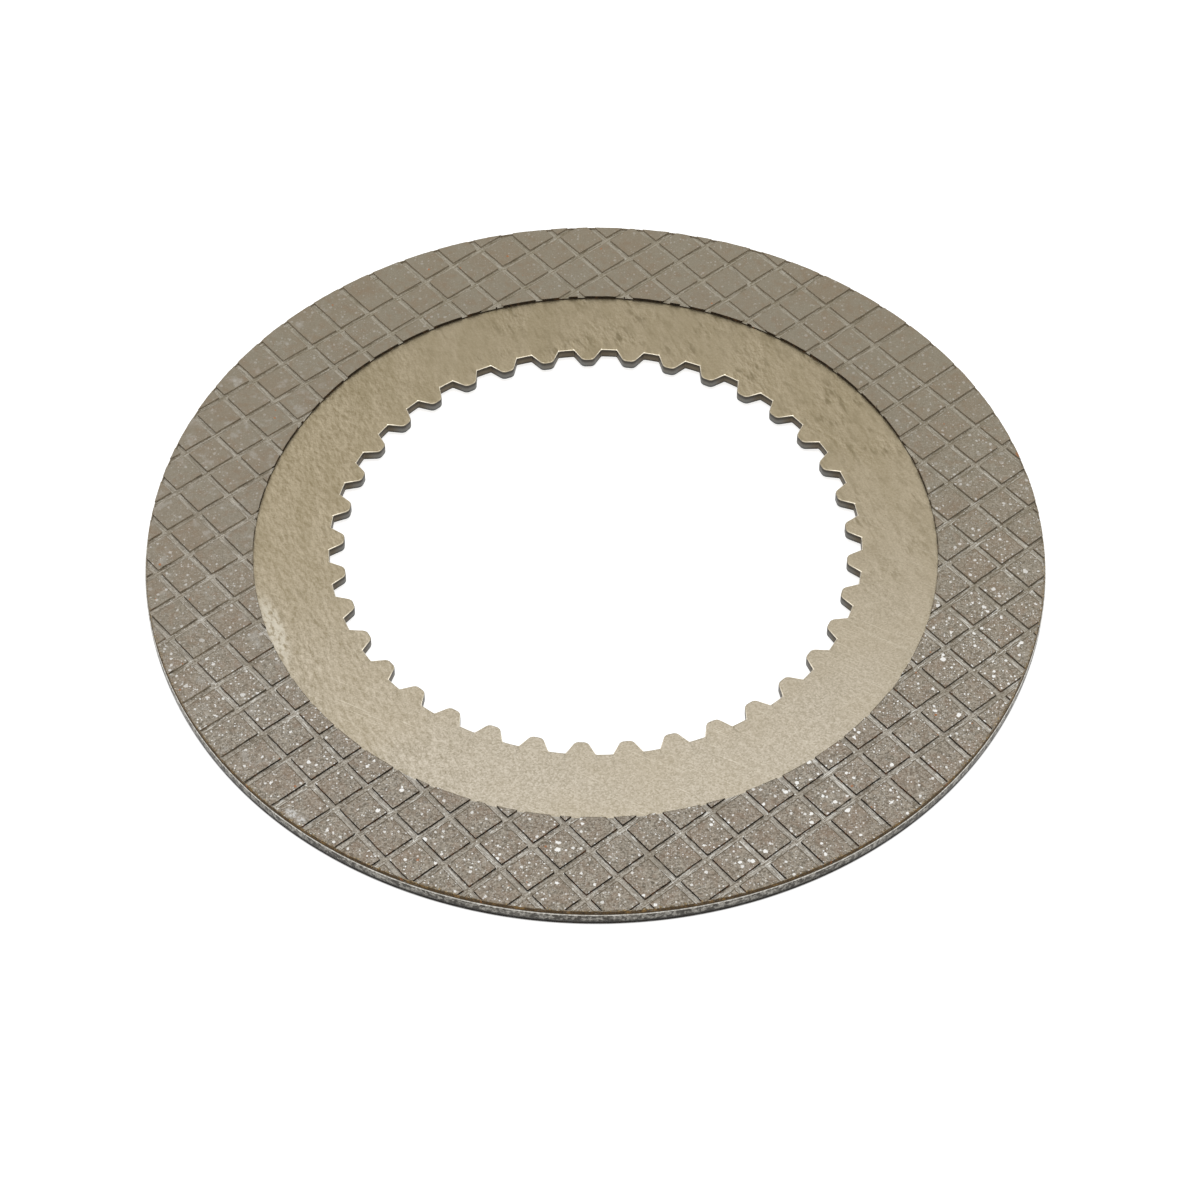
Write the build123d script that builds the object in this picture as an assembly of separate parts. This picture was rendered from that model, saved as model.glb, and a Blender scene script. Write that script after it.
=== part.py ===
from build123d import *
import math
import os

# Wet clutch friction disc: a splined steel core plate with one grooved friction
# facing bonded to each side. The disc lies flat on its lower facing, with its
# axis along +Z and the origin at the centre of its bottom face.
# Lengths are in millimetres and angles in degrees.

# Core plate
outer_diameter = 160.0
core_thickness = 2.0
core_edge_break = 0.25          # where the punch rolled the rim's upper edge over

# Internal spline of the core plate
tooth_count = 37
module = 2.5
pressure_angle = 30.0
tooth_tip_diameter = 89.6
tooth_root_diameter = 94.8
spline_clearance = 0.25         # how much wider a space is than half the pitch
tooth_tip_radius = 1.1
first_space_angle = 9.2         # direction of one tooth space, from +X

# Friction facings
facing_thickness = 0.7
facing_inner_diameter = 121.8
facing_setback = 0.27           # the facing stops short of the core's rim

# Square lattice of straight grooves in each facing
groove_count = 22               # in each of the two directions
groove_pitch = 6.77
groove_width = 1.25
groove_depth = 0.43
groove_direction = 40.15        # of the first family, from +X
groove_shifts = (-0.48, 0.12)   # of each family, from the disc's centre

# Worked out from the sizes above
outer_radius = outer_diameter / 2
tip_radius = tooth_tip_diameter / 2
root_radius = tooth_root_diameter / 2
pitch_radius = module * tooth_count / 2
base_radius = pitch_radius * math.cos(math.radians(pressure_angle))
facing_inner_radius = facing_inner_diameter / 2
facing_outer_radius = outer_radius - facing_setback
total_thickness = core_thickness + 2 * facing_thickness


def involute(angle):
    """Involute function of an angle in radians."""
    return math.tan(angle) - angle


def space_half_angle(radius):
    """Half the angle, in radians, that a tooth space spans at a radius."""
    at_pitch = math.pi / (2 * tooth_count) + spline_clearance / (2 * pitch_radius)
    start = involute(math.radians(pressure_angle))
    return at_pitch + start - involute(math.acos(base_radius / radius))


def flank_point(radius, side):
    """Point of a tooth's involute flank, for the space that opens along +X."""
    angle = side * space_half_angle(radius)
    return (radius * math.cos(angle), radius * math.sin(angle))


def tooth_space():
    """Outline of one space between two teeth, as a face.

    Over the teeth's short height the involute stays within 0.06 of a straight
    line, so each flank is the chord between its two ends.
    """
    low_tip, low_root = [flank_point(r, -1) for r in (tip_radius, root_radius)]
    high_tip, high_root = [flank_point(r, 1) for r in (tip_radius, root_radius)]
    return make_face(Polyline(low_tip, low_root, high_root, high_tip, close=True))


def spline_bore():
    """Bore of the core plate with all its tooth spaces, as a face."""
    turns = [first_space_angle + k * 360 / tooth_count for k in range(tooth_count)]
    space = tooth_space()
    bore = Circle(tip_radius) + [Rot(Z=turn) * space for turn in turns]
    middle = (tip_radius + root_radius) / 2
    tips = [v for v in bore.vertices() if math.hypot(v.X, v.Y) < middle]
    return fillet(tips, tooth_tip_radius)


def core_plate():
    """Stamped steel ring with the spline teeth in its bore."""
    plate = Pos(Z=facing_thickness) * extrude(Circle(outer_radius) - spline_bore(), core_thickness)
    rim = [e for e in plate.edges().filter_by(GeomType.CIRCLE) if e.radius > outer_radius - 0.01]
    punched_edge = ShapeList(rim).sort_by(Axis.Z)[-1]
    return chamfer(punched_edge, core_edge_break)


def groove_lattice():
    """Both families of grooves, as one solid that reaches down from the face."""
    length = 2 * outer_radius
    first = -(groove_count - 1) / 2 * groove_pitch
    bars = []
    for turn, shift in zip((groove_direction, groove_direction + 90), groove_shifts):
        for k in range(groove_count):
            offset = first + k * groove_pitch + shift
            bars.append(Rot(Z=turn) * Pos(Y=offset) * Rectangle(length, groove_width))
    lattice = Sketch() + bars
    return extrude(Pos(Z=total_thickness) * lattice, -groove_depth)


def upper_facing():
    """Ring of friction material with the grooves cut in its top."""
    outline = Circle(facing_outer_radius) - Circle(facing_inner_radius)
    ring = Pos(Z=total_thickness) * extrude(outline, -facing_thickness)
    return ring - groove_lattice()


def build():
    """Write one STEP file for each piece."""
    upper = upper_facing()
    middle_plane = Plane.XY.offset(total_thickness / 2)
    pieces = {
        "core_plate": core_plate(),
        "upper_facing": upper,
        "lower_facing": mirror(upper, middle_plane),
    }
    os.makedirs("parts", exist_ok=True)
    for name, piece in pieces.items():
        export_step(piece, f"parts/{name}.step")


build()
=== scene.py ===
import math

import bmesh
import bpy
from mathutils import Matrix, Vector


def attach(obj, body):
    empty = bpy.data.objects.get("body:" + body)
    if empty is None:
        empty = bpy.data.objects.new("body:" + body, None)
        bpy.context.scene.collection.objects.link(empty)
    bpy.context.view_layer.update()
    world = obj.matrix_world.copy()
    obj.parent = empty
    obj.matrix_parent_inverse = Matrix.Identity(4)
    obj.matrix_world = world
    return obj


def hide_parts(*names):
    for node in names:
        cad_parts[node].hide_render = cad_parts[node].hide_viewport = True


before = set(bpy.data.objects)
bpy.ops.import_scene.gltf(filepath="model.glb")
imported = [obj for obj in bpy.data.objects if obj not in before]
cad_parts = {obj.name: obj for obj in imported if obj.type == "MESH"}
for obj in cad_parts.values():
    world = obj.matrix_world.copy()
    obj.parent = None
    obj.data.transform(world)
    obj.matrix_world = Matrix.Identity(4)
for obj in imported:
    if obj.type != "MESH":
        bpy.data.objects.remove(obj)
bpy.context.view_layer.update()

# A wet clutch friction disc: splined steel core plate with a waffle-grooved
# sintered facing on each side. Pieces are shaped in millimetres and scaled to
# metres when they are done.

disc = {
    "radius": 79.97,
    "thickness": 3.4,
    "facingThick": 0.7,
    "facingInner": 60.9,
    "facingOuter": 79.73,
    "sides": 720,           # of the circles that trim the facings
}


def pick(piece, kind, test):
    # in edit mode: select the faces, edges or vertices that pass a test, and nothing else
    bpy.ops.mesh.select_mode(type=kind)
    bpy.ops.mesh.select_all(action="DESELECT")
    mesh = bmesh.from_edit_mesh(piece.data)
    parts = {"VERT": mesh.verts, "EDGE": mesh.edges, "FACE": mesh.faces}[kind]
    chosen = [part for part in parts if test(part)]
    for part in chosen:
        part.select_set(True)
    mesh.select_flush_mode()
    bmesh.update_edit_mesh(piece.data)
    return len(chosen)


def only(piece):
    bpy.ops.object.select_all(action="DESELECT")
    piece.select_set(True)
    bpy.context.view_layer.objects.active = piece


def startPiece(name):
    # name the primitive that was just added and open it for editing
    piece = bpy.context.object
    piece.name = name
    piece.data.name = name
    bpy.ops.object.transform_apply(location=True, rotation=True, scale=True)
    bpy.ops.object.mode_set(mode="EDIT")
    return piece


def raiseBy(height):
    # in edit mode: extrude what is selected straight up
    bpy.ops.mesh.extrude_region_move(TRANSFORM_OT_translate={"value": (0, 0, height)})


def faceOutwards(piece):
    # in edit mode: make a closed shell's faces point out, whatever its form
    bpy.ops.mesh.select_all(action="SELECT")
    bpy.ops.mesh.normals_make_consistent(inside=False)
    if bmesh.from_edit_mesh(piece.data).calc_volume(signed=True) < 0:
        bpy.ops.mesh.flip_normals()


def applyModifier(piece, kind, **settings):
    only(piece)
    modifier = piece.modifiers.new(kind.lower(), kind)
    for key, value in settings.items():
        setattr(modifier, key, value)
    bpy.ops.object.modifier_apply(modifier=modifier.name)


def wearFinishes(piece, finishes):
    # each finish takes the faces that pass its test; the first one takes the rest
    only(piece)
    piece.data.materials.clear()
    for finish, test in finishes:
        piece.data.materials.append(finish.material)
    bpy.ops.object.mode_set(mode="EDIT")
    for slot, (finish, test) in enumerate(finishes):
        if test and pick(piece, "FACE", test):
            piece.active_material_index = slot
            bpy.ops.object.material_slot_assign()
    bpy.ops.object.mode_set(mode="OBJECT")


def handOver(piece, node):
    # to metres, and into the frame in place of the CAD node
    only(piece)
    bpy.ops.transform.resize(value=(0.001, 0.001, 0.001), center_override=(0, 0, 0))
    bpy.ops.object.transform_apply(location=True, rotation=True, scale=True)
    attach(piece, "root")
    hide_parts(node)
    print(piece.name, "made,", len(piece.data.polygons), "faces")


def linear(value):
    value = value / 255
    return value / 12.92 if value <= 0.04045 else ((value + 0.055) / 1.055) ** 2.4


def tone(shade):
    # a screen colour, 0 to 255, as the linear colour that Blender works in
    return (*[linear(value) for value in shade], 1.0)


class Wire:
    # a node's output that can stand in a sum
    def __init__(self, nodes, socket):
        self.nodes = nodes
        self.socket = socket

    def other(self, name):
        # another output of the same node
        return Wire(self.nodes, self.socket.node.outputs[name])

    def __add__(self, other):
        return self.nodes.maths("ADD", self, other)

    def __sub__(self, other):
        return self.nodes.maths("SUBTRACT", self, other)

    def __rsub__(self, other):
        return self.nodes.maths("SUBTRACT", other, self)

    def __mul__(self, other):
        return self.nodes.maths("MULTIPLY", self, other)

    def __gt__(self, other):
        return self.nodes.maths("GREATER_THAN", self, other)

    def __lt__(self, other):
        return self.nodes.maths("LESS_THAN", self, other)

    __radd__ = __add__
    __rmul__ = __mul__


class Nodes:
    # a node tree that is built up from nothing
    def __init__(self, tree):
        self.tree = tree
        tree.nodes.clear()

    def add(self, kind, settings=None, inputs=None, output=0):
        node = self.tree.nodes.new(kind)
        for key, value in (settings or {}).items():
            setattr(node, key, value)
        for key, value in (inputs or {}).items():
            if isinstance(value, Wire):
                self.tree.links.new(value.socket, node.inputs[key])
            else:
                node.inputs[key].default_value = value
        return Wire(self, node.outputs[output]) if node.outputs else None

    def maths(self, operation, *values, clamp=False):
        settings = {"operation": operation, "use_clamp": clamp}
        return self.add("ShaderNodeMath", settings, dict(enumerate(values)))

    def seenPlainly(self):
        # 1 for what the camera sees, straight or in a gloss or through glass
        rays = self.add("ShaderNodeLightPath", output="Is Camera Ray")
        seen = self.maths("MAXIMUM", rays, rays.other("Is Glossy Ray"))
        return self.maths("MAXIMUM", seen, rays.other("Is Transmission Ray"))


class Finish(Nodes):
    # one material, whose patterns are measured in millimetres on the piece
    def __init__(self, name):
        self.material = bpy.data.materials.new(name)
        self.material.use_nodes = True
        super().__init__(self.material.node_tree)
        where = self.add("ShaderNodeTexCoord", output="Object")
        self.place = self.vector("SCALE", where, Scale=1000.0)
        flat = self.vector("MULTIPLY", self.place, (1.0, 1.0, 0.0))
        self.radius = self.vector("LENGTH", flat, output="Value")

    def vector(self, operation, *values, output="Vector", **named):
        inputs = dict(enumerate(values))
        inputs.update(named)
        return self.add("ShaderNodeVectorMath", {"operation": operation}, inputs, output)

    def along(self, direction):
        # distance along a direction
        return self.vector("DOT_PRODUCT", self.place, direction, output="Value")

    def stretched(self, turn, longways, across=1.0, centre=(0.0, 0.0)):
        # the place as seen from a turned frame whose X and Y steps are this long
        return self.add("ShaderNodeMapping", {"vector_type": "TEXTURE"}, {
            "Vector": self.place,
            "Location": (*centre, 0.0),
            "Rotation": (0.0, 0.0, math.radians(turn)),
            "Scale": (longways, across, 1.0),
        })

    def step(self, value, low, high):
        # 0 below low, 1 above high and smooth between
        settings = {"interpolation_type": "SMOOTHSTEP", "clamp": True}
        return self.add("ShaderNodeMapRange", settings, {0: value, 1: low, 2: high})

    def towards(self, direction, start, end):
        # 0 up to a distance along a direction, and 1 past another
        return self.step(self.along(direction), start, end)

    def dab(self, centre, turn, longways, across):
        # soft oval mark at a place on the face
        spot = self.vector("MULTIPLY", self.stretched(turn, longways, across, centre), (1.0, 1.0, 0.0))
        return self.step(1 - self.vector("LENGTH", spot, output="Value"), 0.0, 0.6)

    def noise(self, size, detail=2.0, rough=0.5, place=None, shift=0.0, output="Fac"):
        # soft noise whose blobs are about this size
        place = place or self.place
        if shift:
            place = self.vector("ADD", place, (shift, shift * 0.7, shift * 1.3))
        inputs = {"Vector": place, "Scale": 1.0 / size, "Detail": detail, "Roughness": rough}
        return self.add("ShaderNodeTexNoise", None, inputs, output)

    def patches(self, size, low, high, detail=2.0, rough=0.5, shift=0.0):
        # ragged patches where soft noise rises past a level
        return self.step(self.noise(size, detail, rough, shift=shift), low, high)

    def grit(self, size):
        # packed grains of this size, each of its own brightness
        return self.cells(size)[1]

    def cells(self, size, place=None):
        # distance to the middle of a cell, and what two dice gave that cell
        inputs = {"Vector": place or self.place, "Scale": 1.0 / size}
        distance = self.add("ShaderNodeTexVoronoi", {"voronoi_dimensions": "2D"}, inputs, "Distance")
        dice = self.add("ShaderNodeSeparateColor", None, {0: distance.other("Color")}, "Red")
        return distance, dice, dice.other("Green")

    def specks(self, cell, share, radius, shift=0.0, ragged=0.35):
        # grains scattered one to a cell, in a given share of the cells
        wobble = self.noise(radius * 0.9, detail=1.0, shift=shift + 3.1, output="Color")
        wobble = self.vector("SUBTRACT", wobble, (0.5, 0.5, 0.5))
        wobble = self.vector("SCALE", wobble, Scale=radius * ragged * 2)
        place = self.vector("ADD", self.place, wobble)
        place = self.vector("ADD", place, (shift, shift * 1.7, shift * 0.6))
        distance, dice, size = self.cells(cell, place)
        size = (size * 0.7 + 0.3) * (radius / cell)
        return self.step(size - distance, 0.0, 0.12 * radius / cell) * (dice > (1 - share))

    def mix(self, factor, first, second):
        settings = {"data_type": "RGBA", "blend_type": "MIX"}
        return self.add("ShaderNodeMix", settings, {0: factor, 6: first, 7: second}, 2)

    def surface(self, colour, height, rough, metal, specular, depth):
        # depth is how far a height of 1 stands out
        relief = self.add("ShaderNodeBump", None, {"Height": height, "Distance": depth * 0.001}, "Normal")
        shader = self.add("ShaderNodeBsdfPrincipled", None, {
            "Base Color": colour,
            "Roughness": rough,
            "Metallic": metal,
            "Specular IOR Level": specular,
            "Normal": relief,
        })
        self.add("ShaderNodeOutputMaterial", None, {"Surface": shader})


facing = {
    "pitch": 6.77,          # of the square groove lattice
    "cells": 12,            # mesh cells in a pitch
    "grooveCells": 2,       # of them, the ones a groove takes
    "span": 24,             # pitches across the whole sheet
    "grooves": 22,          # in each direction
    "turn": 40.15,
    "shift": (-0.48, 0.12),
    "web": 0.27,            # left under a groove
    "depth": 0.43,
    "edgeRound": 0.035,
    "wander": 0.13,         # cut edges stray sideways by about a quarter of this
    "wanderSizes": (("X", 1.2), ("Y", 1.3)),
    "burrInset": 0.03,      # from the facing's outer circle
    "burrWide": 0.16,
    "burrDrop": 0.12,       # from the tiles' tops down to the burr's
    "burrRagged": 0.22,     # how far its top strays, over lumps of the next size
    "burrLump": 0.8,
    "lipWide": 0.20,        # painted shade line along a tile's edge
    "lipInner": 0.16,       # and round the inner circle
    "lipSoft": 0.08,
    "grit": 0.25,
    "streak": 16.0,         # how far the cutter's marks are drawn out along a groove
    "dustSide": ((0.2, -0.98, 0.0), -40.0, 50.0),       # direction, from where, up to where
    "cleanSide": ((-0.5, -0.85, 0.0), -30.0, 30.0),
    "hazeSide": ((-1.0, 0.0, 0.0), 35.0, 60.0),
    "rightSide": ((1.0, 0.0, 0.0), 20.0, 60.0),
    "leftSide": ((-1.0, 0.15, 0.0), 45.0, 62.0),
    "bigSpecks": (2.0, 0.13, 0.46, 2.0, 0.6),           # cell, share, radius, shift, raggedness
    "middleSpecks": (1.2, 0.20, 0.32, 7.0, 0.5),
    "smallSpecks": (0.64, 0.20, 0.19, 13.0),
    "tinySpecks": (0.36, 0.45, 0.14, 19.0),
    "rustSpecks": (3.0, 0.05, 0.28, 23.0),
    "floorSpecks": (0.8, 0.22, 0.18, 5.0),
    "edgeSpecks": (2.2, 0.12, 0.35, 3.0),
    "smudges": (                                        # centre, heading, half length, half width
        ((-50.3, -60.3), -40.0, 1.7, 0.9),
        ((-48.7, -61.6), -38.0, 1.3, 0.7),
    ),
    "rustSpot": ((76.9, 20.3), 105.0, 0.9, 0.45),
    "grainDark": (104, 95, 81),
    "grainLight": (186, 177, 162),
    "clay": (146, 124, 104),
    "lipShade": (92, 80, 60),
    "speck": (255, 254, 250),
    "haze": (198, 195, 188),
    "smudge": (222, 220, 216),
    "rust": (176, 104, 46),
    "burr": (98, 84, 56),
    "burrFleck": (188, 160, 110),
    "shadeTint": (110, 100, 47),
    "floorDark": (122, 112, 97),
    "floorLight": (190, 183, 170),
    "floorPale": (205, 200, 190),
    "floorCloud": (134, 124, 106),
    "dust": (236, 234, 226),
    "wall": (36, 29, 20),
    "wallChip": (128, 82, 44),
    "wallFaded": (172, 160, 140),
    "outerDark": (64, 50, 31),
    "outerLight": (124, 97, 60),
    "outerFlake": (168, 132, 78),
    "shadedUnderside": (22, 19, 16),
    "innerDark": (30, 24, 16),
    "innerLight": (66, 52, 34),
    "innerFlake": (116, 84, 50),
}

turn = math.radians(facing["turn"])
alongFirst = Vector((math.cos(turn), math.sin(turn), 0))
alongSecond = Vector((-math.sin(turn), math.cos(turn), 0))
latticeCentre = alongSecond * facing["shift"][0] - alongFirst * facing["shift"][1]
grooveHalf = facing["grooveCells"] / facing["cells"] * facing["pitch"] / 2


def soiling(finish):
    # dust and grit lie thickest towards -Y and thinnest on the opposite side
    return finish.towards(*facing["dustSide"])


def browning(finish):
    # oil has browned the facing on the other side
    return 1 - finish.towards(*facing["cleanSide"])


def pastCentre(finish, direction):
    # how far a place lies past the lattice's centre, along a direction
    return finish.along(direction) - latticeCentre.dot(direction)


def acrossGroove(finish, direction):
    # how far a place lies from the nearest groove's middle, along a direction
    pitch = facing["pitch"]
    return finish.maths("WRAP", pastCentre(finish, direction), pitch, 0.0) - pitch / 2


def lipShadeMask(tile):
    # a painted shade line along two edges of every tile where a groove is cut, and round the inner circle
    soft = facing["lipSoft"]
    lipShade = tile.step(disc["facingInner"] + facing["lipInner"] - tile.radius, 0.0, soft)
    start = -grooveHalf - facing["lipWide"]
    lastCut = facing["grooves"] / 2 * facing["pitch"]
    for direction in (alongFirst, alongSecond):
        across = acrossGroove(tile, direction)
        behind = tile.step(across, start, start + soft) * (across < 0)
        isCut = tile.maths("ABSOLUTE", pastCentre(tile, direction)) < lastCut
        lipShade = tile.maths("MAXIMUM", lipShade, behind * isCut)
    return lipShade


def mineralMask(tile, soiled):
    # white mineral grains of four sizes; the biggest are only found where it is dusty
    patch = tile.patches(16.0, 0.35, 0.65, shift=41.0)      # some parts of the ring hold more
    big = tile.specks(*facing["bigSpecks"]) * soiled
    middle = tile.specks(*facing["middleSpecks"]) * (patch * 0.3 + 0.7)
    small = tile.specks(*facing["smallSpecks"]) * (patch * 0.5 + 0.5)
    tiny = tile.specks(*facing["tinySpecks"]) * (patch * 0.15 + 0.22)
    white = tile.maths("MAXIMUM", big, middle)
    white = tile.maths("MAXIMUM", white, small)
    return tile.maths("MAXIMUM", white, tiny) * (soiled * 0.82 + 0.18)


def tileFinish():
    tile = Finish("sinteredTile")
    soiled = soiling(tile)
    grit = tile.grit(facing["grit"])
    soft = tile.noise(0.55, rough=0.6)
    grain = ((grit - 0.5) * 0.85 + (soft - 0.5) * 1.1) * (soiled * 0.86 + 0.12)
    grain = tile.maths("ADD", grain, 0.5, clamp=True)
    colour = tile.mix(grain, tone(facing["grainDark"]), tone(facing["grainLight"]))
    cloud = tile.patches(9.0, 0.40, 0.70, detail=3.0, rough=0.6, shift=5.0)
    colour = tile.mix(cloud * 0.30, colour, tone(facing["clay"]))
    warm = tile.patches(1.5, 0.48, 0.70, shift=37.0)
    colour = tile.mix(warm * 0.40, colour, tone(facing["clay"]))
    shaded = browning(tile) * 0.07 + (1 - soiled) * 0.15
    colour = tile.mix(shaded, colour, tone(facing["shadeTint"]))
    # painted shade along the tiles' cut edges and the inner circle, strongest on the dusty side
    colour = tile.mix(lipShadeMask(tile) * (soiled * 0.75 + 0.1), colour, tone(facing["lipShade"]))
    white = mineralMask(tile, soiled)
    colour = tile.mix(white, colour, tone(facing["speck"]))

    # milky haze on the -X side, two smudges and a few rust spots
    haze = tile.patches(2.6, 0.54, 0.70, detail=3.0, rough=0.6, shift=47.0)
    haze = haze * tile.towards(*facing["hazeSide"])
    colour = tile.mix(haze * 0.32, colour, tone(facing["haze"]))
    first, second = facing["smudges"]
    smudge = tile.maths("MAXIMUM", tile.dab(*first), tile.dab(*second))
    smudge = smudge * tile.step(soft, 0.34, 0.58)
    colour = tile.mix(smudge * 0.95, colour, tone(facing["smudge"]))
    rust = tile.maths("MAXIMUM", tile.specks(*facing["rustSpecks"]), tile.dab(*facing["rustSpot"]))
    colour = tile.mix(rust * 0.7, colour, tone(facing["rust"]))

    # what the cutter left along the outer edge
    crumb = tile.noise(0.5, detail=3.0, rough=0.65, shift=29.0)
    edge = disc["facingOuter"]
    outer = tile.step(tile.radius + crumb * 2.2, edge + 0.76, edge + 1.06)
    outer = outer * (tile.patches(1.1, 0.42, 0.54, shift=51.0) * 0.55 + 0.45)
    golden = tile.patches(0.34, 0.52, 0.62, rough=0.6, shift=33.0)
    burr = tile.mix(golden, tone(facing["burr"]), tone(facing["burrFleck"]))
    colour = tile.mix(outer * (soiled * 0.65 + 0.2), colour, burr)
    height = grit * 0.3 + soft * 0.5 + white * 0.4
    tile.surface(colour, height, rough=0.66 + soft * 0.2, metal=0.1, specular=0.35, depth=0.05)
    return tile


def lengthways(groove, inFirst, size, shift):
    # noise drawn out along each groove
    turned = groove.stretched(facing["turn"], facing["streak"])
    crossed = groove.stretched(facing["turn"] + 90, facing["streak"])
    first = groove.noise(size, rough=0.6, place=turned, shift=shift)
    second = groove.noise(size, rough=0.6, place=crossed, shift=shift)
    return inFirst * first + (1 - inFirst) * second


def grooveFinish():
    groove = Finish("grooveCut")
    soiled = soiling(groove)
    browned = browning(groove)
    fromFirst = groove.maths("ABSOLUTE", acrossGroove(groove, alongSecond))
    fromSecond = groove.maths("ABSOLUTE", acrossGroove(groove, alongFirst))
    inFirst = groove.step(grooveHalf + 0.05 - fromFirst, 0.0, 0.05)
    streak = lengthways(groove, inFirst, 0.25, 0.0)
    scratch = lengthways(groove, inFirst, 0.14, 4.0)
    grain = groove.noise(0.25, rough=0.6, shift=3.0)
    gritty = groove.grit(facing["grit"]) * (soiled * 0.16 + 0.04)

    # the grooves' floors; those of the second family are paler
    shade = streak * 0.6 + grain * 0.3 + gritty - soiled * 0.08 - 0.008
    shade = groove.step(shade, 0.34, 0.60)
    floor = groove.mix(shade, tone(facing["floorDark"]), tone(facing["floorLight"]))
    paler = (1 - inFirst) * (browned * 0.08 + soiled * 0.10 + 0.17)
    floor = groove.mix(paler, floor, tone(facing["floorPale"]))
    cloud = groove.patches(7.0, 0.45, 0.70, shift=8.0)
    floor = groove.mix(cloud * 0.4, floor, tone(facing["floorCloud"]))
    shaded = browned * 0.15 + (1 - soiled) * 0.10
    floor = groove.mix(shaded, floor, tone(facing["shadeTint"]))
    onRight = groove.towards(*facing["rightSide"])
    floor = groove.mix(inFirst * onRight * 0.16, floor, tone(facing["floorDark"]))

    # dust in scratches, swept against the walls and in grains
    fromMiddle = groove.maths("MINIMUM", fromFirst, fromSecond)
    swept = groove.step(fromMiddle, grooveHalf - 0.35, grooveHalf - 0.10) * groove.step(grain, 0.50, 0.62)
    drift = groove.patches(3.5, 0.44, 0.58, shift=17.0)
    white = groove.step(scratch, 0.54, 0.64) * drift + swept * 0.6 * drift
    white = white + groove.step(grain, 0.58, 0.72) * 0.4
    white = groove.maths("MAXIMUM", white, groove.specks(*facing["floorSpecks"]))
    white = groove.maths("MULTIPLY", white, soiled * 0.8 + 0.2, clamp=True)
    floor = groove.mix(white, floor, tone(facing["dust"]))

    # the walls, painted near-black as their dark colour and as painted shade, chipped here and there and
    # faded away from the dusty side
    chip = groove.patches(0.9, 0.54, 0.64, rough=0.6, shift=31.0)
    gap = groove.patches(1.9, 0.58, 0.68, rough=0.6, shift=35.0)
    wall = groove.mix(chip * 0.7, tone(facing["wall"]), tone(facing["wallChip"]))
    faded = groove.maths("ADD", (1 - soiled) * 0.65, browned * 0.30, clamp=True)
    faded = groove.maths("MAXIMUM", faded, gap * 0.6)
    onLeft = groove.towards(*facing["leftSide"])
    faded = groove.maths("MAXIMUM", faded, inFirst * onLeft * (1 - chip * 0.4))
    wall = groove.mix(faded, wall, tone(facing["wallFaded"]))

    normal = groove.add("ShaderNodeNewGeometry", output="Normal")
    upright = groove.add("ShaderNodeSeparateXYZ", None, {0: normal}, "Z")
    isFloor = groove.step(groove.maths("ABSOLUTE", upright), 0.78, 0.92)
    colour = groove.mix(isFloor, wall, floor)
    height = streak * 0.7 + grain * 0.3
    groove.surface(colour, height, rough=0.7, metal=0.1, specular=0.3, depth=0.05)
    return groove


def edgeFinish():
    edge = Finish("facingEdge")
    grain = edge.patches(0.35, 0.35, 0.70, detail=3.0, rough=0.7)
    flake = edge.patches(1.3, 0.52, 0.66, rough=0.6, shift=5.0)
    outer = edge.mix(grain, tone(facing["outerDark"]), tone(facing["outerLight"]))
    outer = edge.mix(flake * 0.8, outer, tone(facing["outerFlake"]))
    # painted shade: below the disc's middle, the lower facing's outer edge is painted near-black
    shadedUnderside = edge.step(disc["thickness"] / 2 - edge.along((0.0, 0.0, 1.0)), 0.0, 0.2)
    outer = edge.mix(shadedUnderside * 0.95, outer, tone(facing["shadedUnderside"]))
    inner = edge.mix(grain, tone(facing["innerDark"]), tone(facing["innerLight"]))
    inner = edge.mix(flake * 0.4, inner, tone(facing["innerFlake"]))
    middle = (disc["facingInner"] + disc["facingOuter"]) / 2
    colour = edge.mix(edge.step(edge.radius, middle - 2, middle + 2), inner, outer)
    rust = edge.specks(*facing["edgeSpecks"]) * (1 - shadedUnderside)
    colour = edge.mix(rust * 0.7, colour, tone(facing["rust"]))
    height = grain * 0.5 + flake * 0.5
    edge.surface(colour, height, rough=0.7, metal=0.1, specular=0.3, depth=0.06)
    return edge


def ringCutter(outer, inner, low, high):
    bpy.ops.object.select_all(action="DESELECT")
    bpy.ops.mesh.primitive_circle_add(vertices=disc["sides"], radius=outer, fill_type="NOTHING",
                                      location=(0, 0, low))
    cutter = startPiece("ringCutter")
    bpy.ops.mesh.select_mode(type="EDGE")
    bpy.ops.mesh.select_all(action="SELECT")
    bpy.ops.mesh.extrude_region_move()
    bpy.ops.transform.resize(value=(inner / outer, inner / outer, 1), center_override=(0, 0, 0))
    bpy.ops.mesh.select_all(action="SELECT")
    raiseBy(high - low)
    faceOutwards(cutter)
    bpy.ops.object.mode_set(mode="OBJECT")
    return cutter


def isTile(face):
    # a tile's faces lie clear of both families of grooves
    centre = face.calc_center_median() - latticeCentre
    pitch = facing["pitch"]
    for direction in (alongFirst, alongSecond):
        offset = centre.dot(direction)
        nearest = (round(offset / pitch - 0.5) + 0.5) * pitch
        cut = abs(nearest) < facing["grooves"] / 2 * pitch
        if cut and abs(offset - nearest) < grooveHalf:
            return False
    return True


def isTileEdge(edge):
    flat = min(v.co.z for v in edge.verts) > disc["thickness"] - 0.001
    return flat and len(edge.link_faces) == 2 and edge.calc_face_angle(0) > 1.2


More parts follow.
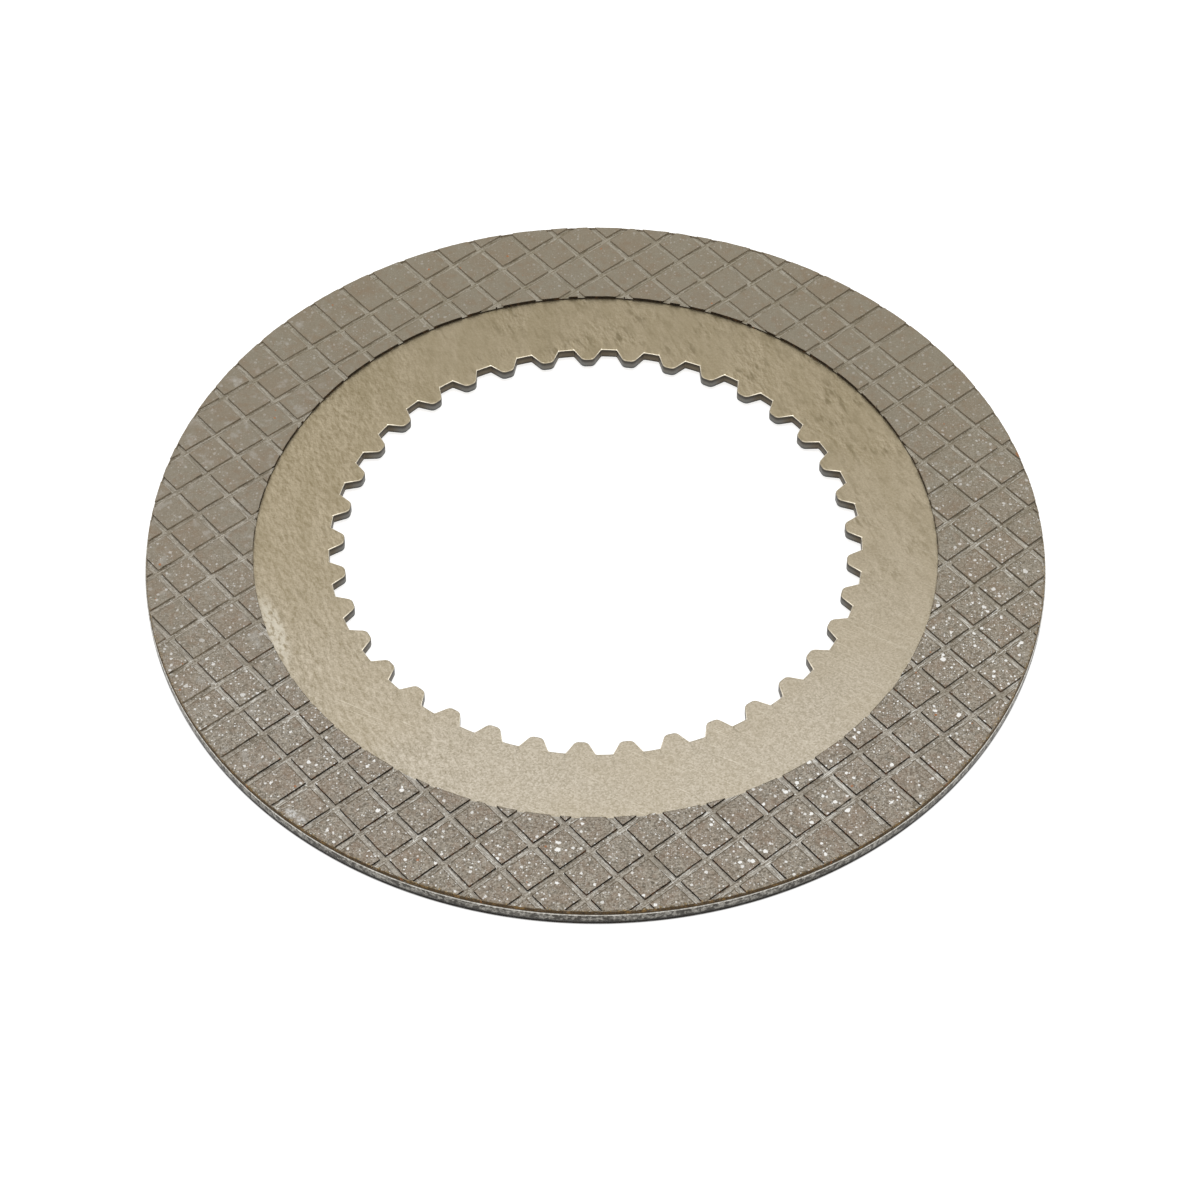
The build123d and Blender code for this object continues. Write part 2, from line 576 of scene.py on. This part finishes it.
def makeFacing():
    low = disc["thickness"] - disc["facingThick"]
    cells = facing["span"] * facing["cells"]
    size = cells * facing["pitch"] / facing["cells"]
    bpy.ops.object.select_all(action="DESELECT")
    bpy.ops.mesh.primitive_grid_add(
        x_subdivisions=cells, y_subdivisions=cells, size=size,
        location=latticeCentre + Vector((0, 0, low)), rotation=(0, 0, turn))
    piece = startPiece("upperFacing")
    inside, outside = disc["facingInner"] - 1, disc["facingOuter"] + 1
    pick(piece, "FACE", lambda face: not inside < face.calc_center_median().xy.length < outside)
    bpy.ops.mesh.delete(type="FACE")
    bpy.ops.mesh.select_all(action="SELECT")
    raiseBy(facing["web"])
    faceOutwards(piece)
    bpy.ops.object.mode_set(mode="OBJECT")

    # trim the slab to a ring, raise the tiles from it and break their top edges
    cutter = ringCutter(disc["facingOuter"], disc["facingInner"], low - 1, low + 1)
    applyModifier(piece, "BOOLEAN", operation="INTERSECT", object=cutter, solver="MANIFOLD")
    bpy.data.objects.remove(cutter)
    bpy.ops.object.mode_set(mode="EDIT")
    pick(piece, "FACE", lambda face: face.normal.z > 0.9 and isTile(face))
    raiseBy(facing["depth"])
    pick(piece, "EDGE", isTileEdge)
    bpy.ops.mesh.bevel(offset=facing["edgeRound"], segments=1, affect="EDGES")
    bpy.ops.object.mode_set(mode="OBJECT")

    # let every cut stray a little
    for direction, size in facing["wanderSizes"]:
        cloud = bpy.data.textures.new("stray" + direction, "CLOUDS")
        cloud.noise_scale = size
        applyModifier(piece, "DISPLACE", texture=cloud, direction=direction, strength=facing["wander"],
                      mid_level=0.5)

    # the cutter left a low ragged burr across the grooves' outer ends
    outer = disc["facingOuter"] - facing["burrInset"]
    foot = disc["thickness"] - facing["depth"] - 0.05           # a little way into the web
    burr = ringCutter(outer, outer - facing["burrWide"], foot, disc["thickness"] - facing["burrDrop"])
    cloud = bpy.data.textures.new("ragged", "CLOUDS")
    cloud.noise_scale = facing["burrLump"]
    applyModifier(burr, "DISPLACE", texture=cloud, direction="Z", strength=facing["burrRagged"],
                  mid_level=0.5)
    burr.select_set(True)
    piece.select_set(True)
    bpy.context.view_layer.objects.active = piece
    bpy.ops.object.join()
    return piece


def isBurrTop(face):
    centre = face.calc_center_median()
    atEdge = centre.xy.length > disc["facingOuter"] - 0.25
    return atEdge and face.normal.z > 0.5 and centre.z > disc["thickness"] - 0.3


def isGroove(face):
    return face.calc_center_median().z < disc["thickness"] - 0.01 and not isBurrTop(face)


def isRim(face):
    reach = face.calc_center_median().xy.length
    return abs(face.normal.z) < 0.5 and not disc["facingInner"] + 0.15 < reach < disc["facingOuter"] - 0.15


upperFacing = makeFacing()
wearFinishes(upperFacing, [(tileFinish(), None), (grooveFinish(), isGroove), (edgeFinish(), isRim)])
only(upperFacing)
bpy.ops.object.duplicate()
lowerFacing = bpy.context.object
lowerFacing.name = "lowerFacing"
lowerFacing.data.name = "lowerFacing"
bpy.ops.object.mode_set(mode="EDIT")
bpy.ops.mesh.select_all(action="SELECT")
bpy.ops.transform.resize(value=(1, 1, -1), center_override=(0, 0, disc["thickness"] / 2))
bpy.ops.mesh.flip_normals()
bpy.ops.object.mode_set(mode="OBJECT")
handOver(upperFacing, "upper_facing")
handOver(lowerFacing, "lower_facing")


core = {
    "low": 0.7,
    "thick": 2.0,
    "teeth": 37,
    "module": 2.5,
    "pressure": 30.0,
    "tip": 44.8,
    "root": 47.4,
    "clearance": 0.25,
    "tipRound": 1.1,
    "rootRound": 0.35,
    "firstSpace": 9.2,
    "edgeRound": 0.23,
    "rings": (51.0, 60.9, disc["radius"]),
    "rimRoll": 0.42,        # how far the punch drew the rim's upper edge down
    "tipSteps": 6,          # points on each rounding
    "rootSteps": 4,
    "edgeSteps": 3,
    "rollSteps": 4,
    "smoothUpTo": 50,       # degrees between faces
    "grit": 0.26,
    "nearSide": ((0.15, -0.99, 0.0), -30.0, 65.0),      # direction, from where, up to where
    "leftSide": ((-1.0, -0.1, 0.0), 15.0, 45.0),
    "wornSide": ((0.55, 0.84, 0.0), -5.0, 45.0),
    "wrinkles": (112.0, 1.7),                           # heading, and how far drawn out along it
    "rolling": (114.0, 2.8),
    "scratches": (152.0, 60.0),
    "bands": (95.0, 3.5),
    "scuff": ((-55.9, -20.6), -70.0, 10.5, 2.4),        # centre, heading, half length, half width
    "rubs": (
        ((-56.5, -13.6), -65.0, 4.2, 0.45),
        ((-52.1, -12.4), -58.0, 1.5, 0.6),
        ((-49.3, -17.9), -60.0, 3.4, 0.35),
        ((-54.9, -17.5), -66.0, 2.6, 0.5),
    ),
    "farDark": (116, 104, 79),
    "farLight": (161, 150, 127),
    # the near colours carry a painted reflection of the soft box: paler and more neutral than the far ones
    "nearSheenDark": (126, 118, 100),
    "nearSheenLight": (176, 168, 155),
    "cloud": (145, 134, 112),
    "rolledFaint": (98, 87, 62),
    "rolledDeep": (84, 74, 50),
    "scratch": (208, 201, 186),
    "band": (112, 101, 72),
    "scuffed": (184, 179, 166),
    "rubbed": (112, 102, 80),
    "rimDark": (96, 92, 85),
    "rimLight": (170, 167, 159),
    "rimPit": (50, 45, 38),
    "rimFootShade": (30, 27, 23),
    "toothEnd": (110, 108, 103),
    "toothSpace": (94, 84, 68),
    "boreCloud": (116, 107, 92),
    "boreTopShade": (42, 35, 25),
    "toothFootShade": (60, 65, 66),
    "spaceFootShade": (46, 44, 40),
    "toothRollHighlight": (166, 156, 136),
    "spaceRollHighlight": (228, 219, 200),
    "rollCloud": (150, 140, 118),
    "rimRollDark": (174, 171, 163),
    "rimRollLight": (222, 219, 211),
    "rimSeam": (66, 53, 36),
}


def spaceHalf(radius):
    # half the angle that a tooth space spans, from the involute
    pitchRadius = core["module"] * core["teeth"] / 2
    pressure = math.radians(core["pressure"])
    reach = math.acos(pitchRadius * math.cos(pressure) / radius)
    swing = (math.tan(pressure) - pressure) - (math.tan(reach) - reach)
    return math.pi / (2 * core["teeth"]) + core["clearance"] / (2 * pitchRadius) + swing


def roundCorner(radius, level, side, start, heading, inward, count):
    # arc between the circle at a level and the flank; its centre lies a radius off both
    origin = start + inward * radius * side
    reach = level + radius * side
    along = origin.dot(heading)
    centre = origin + heading * (math.sqrt(along ** 2 - origin.dot(origin) + reach ** 2) - along)
    first = centre.normalized() * level - centre
    sweep = first.angle_signed(-inward * radius * side)
    begin = math.atan2(first.y, first.x)
    turns = [begin - sweep * k / (count - 1) for k in range(count)]
    return [centre + Vector((math.cos(angle), math.sin(angle))) * radius for angle in turns]


def halfTooth():
    # one side of a tooth, from the middle of its tip to the middle of the root
    half = math.pi / core["teeth"]
    ends = []
    for radius in (core["tip"], core["root"]):
        angle = half - spaceHalf(radius)
        ends.append(Vector((radius * math.cos(angle), radius * math.sin(angle))))
    start = ends[0]
    heading = (ends[1] - start).normalized()
    inward = Vector((heading.y, -heading.x))            # towards the tooth's middle
    tipArc = roundCorner(core["tipRound"], core["tip"], 1, start, heading, inward,
                         core["tipSteps"])
    rootArc = roundCorner(core["rootRound"], core["root"], -1, start, heading, inward,
                          core["rootSteps"])
    rootMiddle = Vector((core["root"] * math.cos(half), core["root"] * math.sin(half)))
    return [Vector((core["tip"], 0.0))] + tipArc + rootArc[::-1] + [rootMiddle]


def turnBy(angle):
    # with no window, rotate turns the other way
    bpy.ops.transform.rotate(value=-angle, orient_axis="Z", center_override=(0, 0, 0))


def isRimEdge(edge):
    top = core["low"] + core["thick"]
    atTop = min(v.co.z for v in edge.verts) > top - 0.01
    return atTop and min(v.co.xy.length for v in edge.verts) > disc["radius"] - 0.01


def isSharpEdge(edge):
    return edge.calc_face_angle(0) > 1.2 and abs(edge.verts[0].co.z - edge.verts[1].co.z) < 0.01


def makePlate():
    # the bore's outline over one pitch: one side of a tooth, then the next tooth's other side
    side = [(point.length, math.atan2(point.y, point.x)) for point in halfTooth()]
    pitchAngle = 2 * math.pi / core["teeth"]
    outline = side + [(radius, pitchAngle - angle) for radius, angle in reversed(side[1:-1])]
    count = len(outline)
    total = count * core["teeth"]
    firstTooth = math.radians(core["firstSpace"]) + pitchAngle / 2
    bpy.ops.object.select_all(action="DESELECT")
    bpy.ops.mesh.primitive_circle_add(vertices=total, radius=1, fill_type="NOTHING",
                                      location=(0, 0, core["low"]))
    piece = startPiece("corePlate")
    placed = [math.atan2(v.co.y, v.co.x) for v in bmesh.from_edit_mesh(piece.data).verts]
    onwards = 1 if math.sin(placed[1] - placed[0]) > 0 else -1
    for k, (radius, angle) in enumerate(outline):
        pick(piece, "VERT", lambda v: v.index % count == (onwards * k) % count)
        turnBy(firstTooth + angle - placed[0] - k * 2 * math.pi / total)
        bpy.ops.transform.resize(value=(radius, radius, 1), center_override=(0, 0, 0))

    # rings outside the bore, each drawn out from the one before and made round
    pick(piece, "EDGE", lambda e: True)
    for radius in core["rings"]:
        bpy.ops.mesh.extrude_region_move()
        for vertex in bmesh.from_edit_mesh(piece.data).verts:
            if vertex.select:
                vertex.co.xy = vertex.co.xy.normalized() * radius
    pick(piece, "FACE", lambda face: True)
    raiseBy(core["thick"])
    faceOutwards(piece)
    pick(piece, "EDGE", lambda e: isSharpEdge(e) and not isRimEdge(e))
    bpy.ops.mesh.bevel(offset=core["edgeRound"], segments=core["edgeSteps"], affect="EDGES", profile=0.5)
    pick(piece, "EDGE", isRimEdge)
    bpy.ops.mesh.bevel(offset=core["rimRoll"], segments=core["rollSteps"], affect="EDGES", profile=0.5)
    bpy.ops.object.mode_set(mode="OBJECT")
    return piece


def plateFinish():
    plate = Finish("plateFace")
    near = plate.towards(*core["nearSide"])
    left = plate.towards(*core["leftSide"])
    side = plate.towards(*core["wornSide"])
    grit = plate.grit(core["grit"])
    grain = plate.noise(0.45, detail=3.0, rough=0.65)
    wrinkled = plate.stretched(*core["wrinkles"])
    mottle = plate.noise(0.9, detail=3.0, rough=0.6, place=wrinkled, shift=4.0)
    beside = plate.vector("ADD", wrinkled, (0.06, -0.22, 0.0))
    relief = mottle - plate.noise(0.9, detail=3.0, rough=0.6, place=beside, shift=4.0)
    cloud = plate.noise(22.0, shift=9.0)
    blotch = plate.noise(9.0, shift=14.0)
    worn = plate.step(blotch, 0.42, 0.62) * side
    shade = (grit - 0.5) * (near * 0.42 + 0.12) + (grain - 0.5) * (near * 0.4 + 0.6)
    # the relief is painted light and shade: pale on one side of each wrinkle and dark on the other
    shade = shade + (mottle - 0.5) * (left * 0.9 + 0.3) + relief * (left + worn * 1.4 + 0.3)
    shade = plate.maths("ADD", shade, 0.5, clamp=True)
    # painted reflection of the soft box: towards -Y the plate is painted lighter and more neutral
    farColour = plate.mix(shade, tone(core["farDark"]), tone(core["farLight"]))
    nearSheenColour = plate.mix(shade, tone(core["nearSheenDark"]), tone(core["nearSheenLight"]))
    colour = plate.mix(near, farColour, nearSheenColour)
    colour = plate.mix(plate.step(cloud, 0.40, 0.70) * 0.3, colour, tone(core["cloud"]))

    # dark streaks where the strip was rolled, on the +Y side
    rolled = plate.noise(1.2, rough=0.6, place=plate.stretched(*core["rolling"]), shift=2.0)
    faint = plate.step(rolled, 0.46, 0.68) * side
    deep = plate.step(rolled, 0.58, 0.70) * plate.step(blotch, 0.44, 0.60) * side
    colour = plate.mix(faint * 0.28, colour, tone(core["rolledFaint"]))
    colour = plate.mix(deep * 0.40, colour, tone(core["rolledDeep"]))
    scratch = plate.noise(0.16, detail=1.0, place=plate.stretched(*core["scratches"]), shift=21.0)
    scratch = plate.step(scratch, 0.66, 0.72) * plate.step(cloud, 0.40, 0.60) * near
    colour = plate.mix(scratch * 0.35, colour, tone(core["scratch"]))
    bands = plate.noise(4.0, place=plate.stretched(*core["bands"]), shift=6.0)
    bands = plate.step(bands, 0.40, 0.62) * (1 - near)
    colour = plate.mix(bands * 0.20, colour, tone(core["band"]))

    # scuff and rubs on the -X side
    scuff = plate.dab(*core["scuff"]) * plate.step(mottle, 0.38, 0.54)
    colour = plate.mix(scuff * 0.52, colour, tone(core["scuffed"]))
    for place in core["rubs"]:
        rub = plate.dab(*place) * plate.step(grain, 0.35, 0.60)
        colour = plate.mix(rub * 0.5, colour, tone(core["rubbed"]))
    height = grain * 0.4 + grit * 0.2 + mottle * (left * 0.2 + worn * 0.4 + 0.1)
    plate.surface(colour, height, rough=0.36 + grain * 0.16, metal=0.85, specular=0.5, depth=0.03)
    return plate


def isOutside(finish):
    # 0 in the bore and 1 at the rim
    return finish.step(finish.radius, 52.0, 70.0)


def plateEdgeFinish():
    cut = Finish("plateEdge")
    level = cut.along((0.0, 0.0, 1.0)) - core["low"]
    grain = cut.noise(0.5, detail=3.0, rough=0.7)
    pits = cut.noise(1.0, rough=0.6, shift=6.0)
    rim = cut.mix(cut.step(grain, 0.38, 0.66), tone(core["rimDark"]), tone(core["rimLight"]))
    rim = cut.mix(cut.step(pits, 0.47, 0.58) * 0.85, rim, tone(core["rimPit"]))
    # painted shade: the rim darkens towards its bottom
    rim = cut.mix(cut.step(0.65 - level, 0.0, 0.4) * 0.75, rim, tone(core["rimFootShade"]))
    # painted shade: the bore's walls are painted dark for the dark surroundings they would reflect,
    # darkest under the top edge and at the foot, bluish at the tooth ends
    atRoot = cut.step(cut.radius, core["tip"] + 0.4, core["root"] - 0.4)
    bore = cut.mix(atRoot, tone(core["toothEnd"]), tone(core["toothSpace"]))
    cloud = cut.patches(2.2, 0.40, 0.70, shift=11.0)
    bore = cut.mix(cloud * 0.4, bore, tone(core["boreCloud"]))
    bore = cut.mix(cut.step(level, 0.9, 1.65) * 0.75, bore, tone(core["boreTopShade"]))
    foot = cut.mix(atRoot, tone(core["toothFootShade"]), tone(core["spaceFootShade"]))
    bore = cut.mix(cut.step(0.7 - level, 0.0, 0.5) * 0.8, bore, foot)
    colour = cut.mix(isOutside(cut), bore, rim)
    height = grain * 0.6 + pits * 0.4
    cut.surface(colour, height, rough=0.5, metal=0.7, specular=0.5, depth=0.04)
    return cut


def rollFinish():
    roll = Finish("rolledEdgeHighlight")
    # painted highlight: the rolled edges are painted paler than the plate, cream in the tooth spaces and
    # pale grey round the rim
    grain = roll.noise(0.5, rough=0.6)
    atRoot = roll.step(roll.radius, core["tip"] + 0.3, core["root"] - 0.6)
    bore = roll.mix(atRoot, tone(core["toothRollHighlight"]), tone(core["spaceRollHighlight"]))
    bore = roll.mix(roll.step(grain, 0.40, 0.65) * 0.3, bore, tone(core["rollCloud"]))
    shade = roll.step(grain, 0.35, 0.65)
    rim = roll.mix(shade, tone(core["rimRollDark"]), tone(core["rimRollLight"]))
    bare = roll.step(roll.radius - disc["facingOuter"], 0.05, 0.15)     # past the facing's edge
    rim = roll.mix(bare, tone(core["rimSeam"]), rim)
    colour = roll.mix(isOutside(roll), bore, rim)
    roll.surface(colour, grain, rough=0.32, metal=0.85, specular=0.5, depth=0.02)
    return roll


corePlate = makePlate()
wearFinishes(corePlate, [
    (plateFinish(), None),
    (plateEdgeFinish(), lambda face: abs(face.normal.z) < 0.35),
    (rollFinish(), lambda face: 0.35 <= face.normal.z < 0.97),
])
handOver(corePlate, "core_plate")
only(corePlate)
bpy.ops.object.shade_smooth_by_angle(angle=math.radians(core["smoothUpTo"]))
applyModifier(corePlate, "WEIGHTED_NORMAL", weight=50, keep_sharp=True)


studio = {
    "floorSize": 8.0,
    "floorLevel": -0.00005,         # clear of the disc's lowest faces
    "floorShade": 0.60,
    "floorLift": 0.80,              # added for the camera alone, so that the floor reads as white
    "underDisc": (50.0, 79.9),      # painted shadow: no lift between these radii, so the lower grooves' mouths stay dark
    "skyForShapes": 0.40,
    "boxSize": 1.0,
    "boxPlace": (0.0, 0.10, 0.85),
    "boxPower": 5.8,
}

bpy.ops.object.select_all(action="DESELECT")
bpy.ops.mesh.primitive_plane_add(size=studio["floorSize"], location=(0, 0, studio["floorLevel"]))
floor = bpy.context.object
floor.name = "studioFloor"
bpy.ops.object.transform_apply(location=True, rotation=True, scale=True)

paper = Finish("studioPaper")
inner, outer = studio["underDisc"]
# painted shadow: the floor under the disc gets no lift
paintedShadowRing = paper.step(paper.radius, inner, inner + 1.0) * (1 - paper.step(paper.radius, outer - 0.2, outer))
matt = paper.add("ShaderNodeBsdfDiffuse", None, {"Color": (studio["floorShade"],) * 3 + (1,)})
glow = paper.add("ShaderNodeEmission", None, {"Strength": studio["floorLift"]})
lifted = paper.add("ShaderNodeAddShader", None, {0: matt, 1: glow})
shown = paper.seenPlainly() * (1 - paintedShadowRing)
both = paper.add("ShaderNodeMixShader", None, {0: shown, 1: matt, 2: lifted})
paper.add("ShaderNodeOutputMaterial", None, {"Surface": both})
floor.data.materials.append(paper.material)

world = bpy.data.worlds.new("studioSky")
bpy.context.scene.world = world
world.use_nodes = True
sky = Nodes(world.node_tree)
dim = sky.add("ShaderNodeBackground", None, {"Strength": studio["skyForShapes"]})
plain = sky.add("ShaderNodeBackground", None, {"Color": (1, 1, 1, 1), "Strength": 1.0})
both = sky.add("ShaderNodeMixShader", None, {0: sky.seenPlainly(), 1: dim, 2: plain})
sky.add("ShaderNodeOutputWorld", None, {"Surface": both})

bpy.ops.object.light_add(type="AREA", location=studio["boxPlace"])
softBox = bpy.context.object
softBox.name = "softBox"
softBox.data.shape = "SQUARE"
softBox.data.size = studio["boxSize"]
softBox.data.energy = studio["boxPower"]
softBox.rotation_euler = (-Vector(studio["boxPlace"])).to_track_quat("-Z", "Y").to_euler()

view = {
    "place": (0.0, -0.36314, 0.42513),
    "aim": (0.00079, -0.01145, 0.0),
    "roll": 0.204,
    "lens": 93.74,
}
bpy.ops.object.camera_add(location=view["place"])
camera = bpy.context.object
camera.name = "camera"
aimAt = (Vector(view["aim"]) - Vector(view["place"])).to_track_quat("-Z", "Y")
camera.rotation_euler = aimAt.to_euler()
camera.rotation_euler.rotate_axis("Z", math.radians(view["roll"]))
camera.data.lens = view["lens"]
camera.data.sensor_width = 36.0
camera.data.sensor_fit = "HORIZONTAL"
bpy.context.scene.camera = camera
bpy.context.scene.view_settings.view_transform = "Standard"
print("studio set")
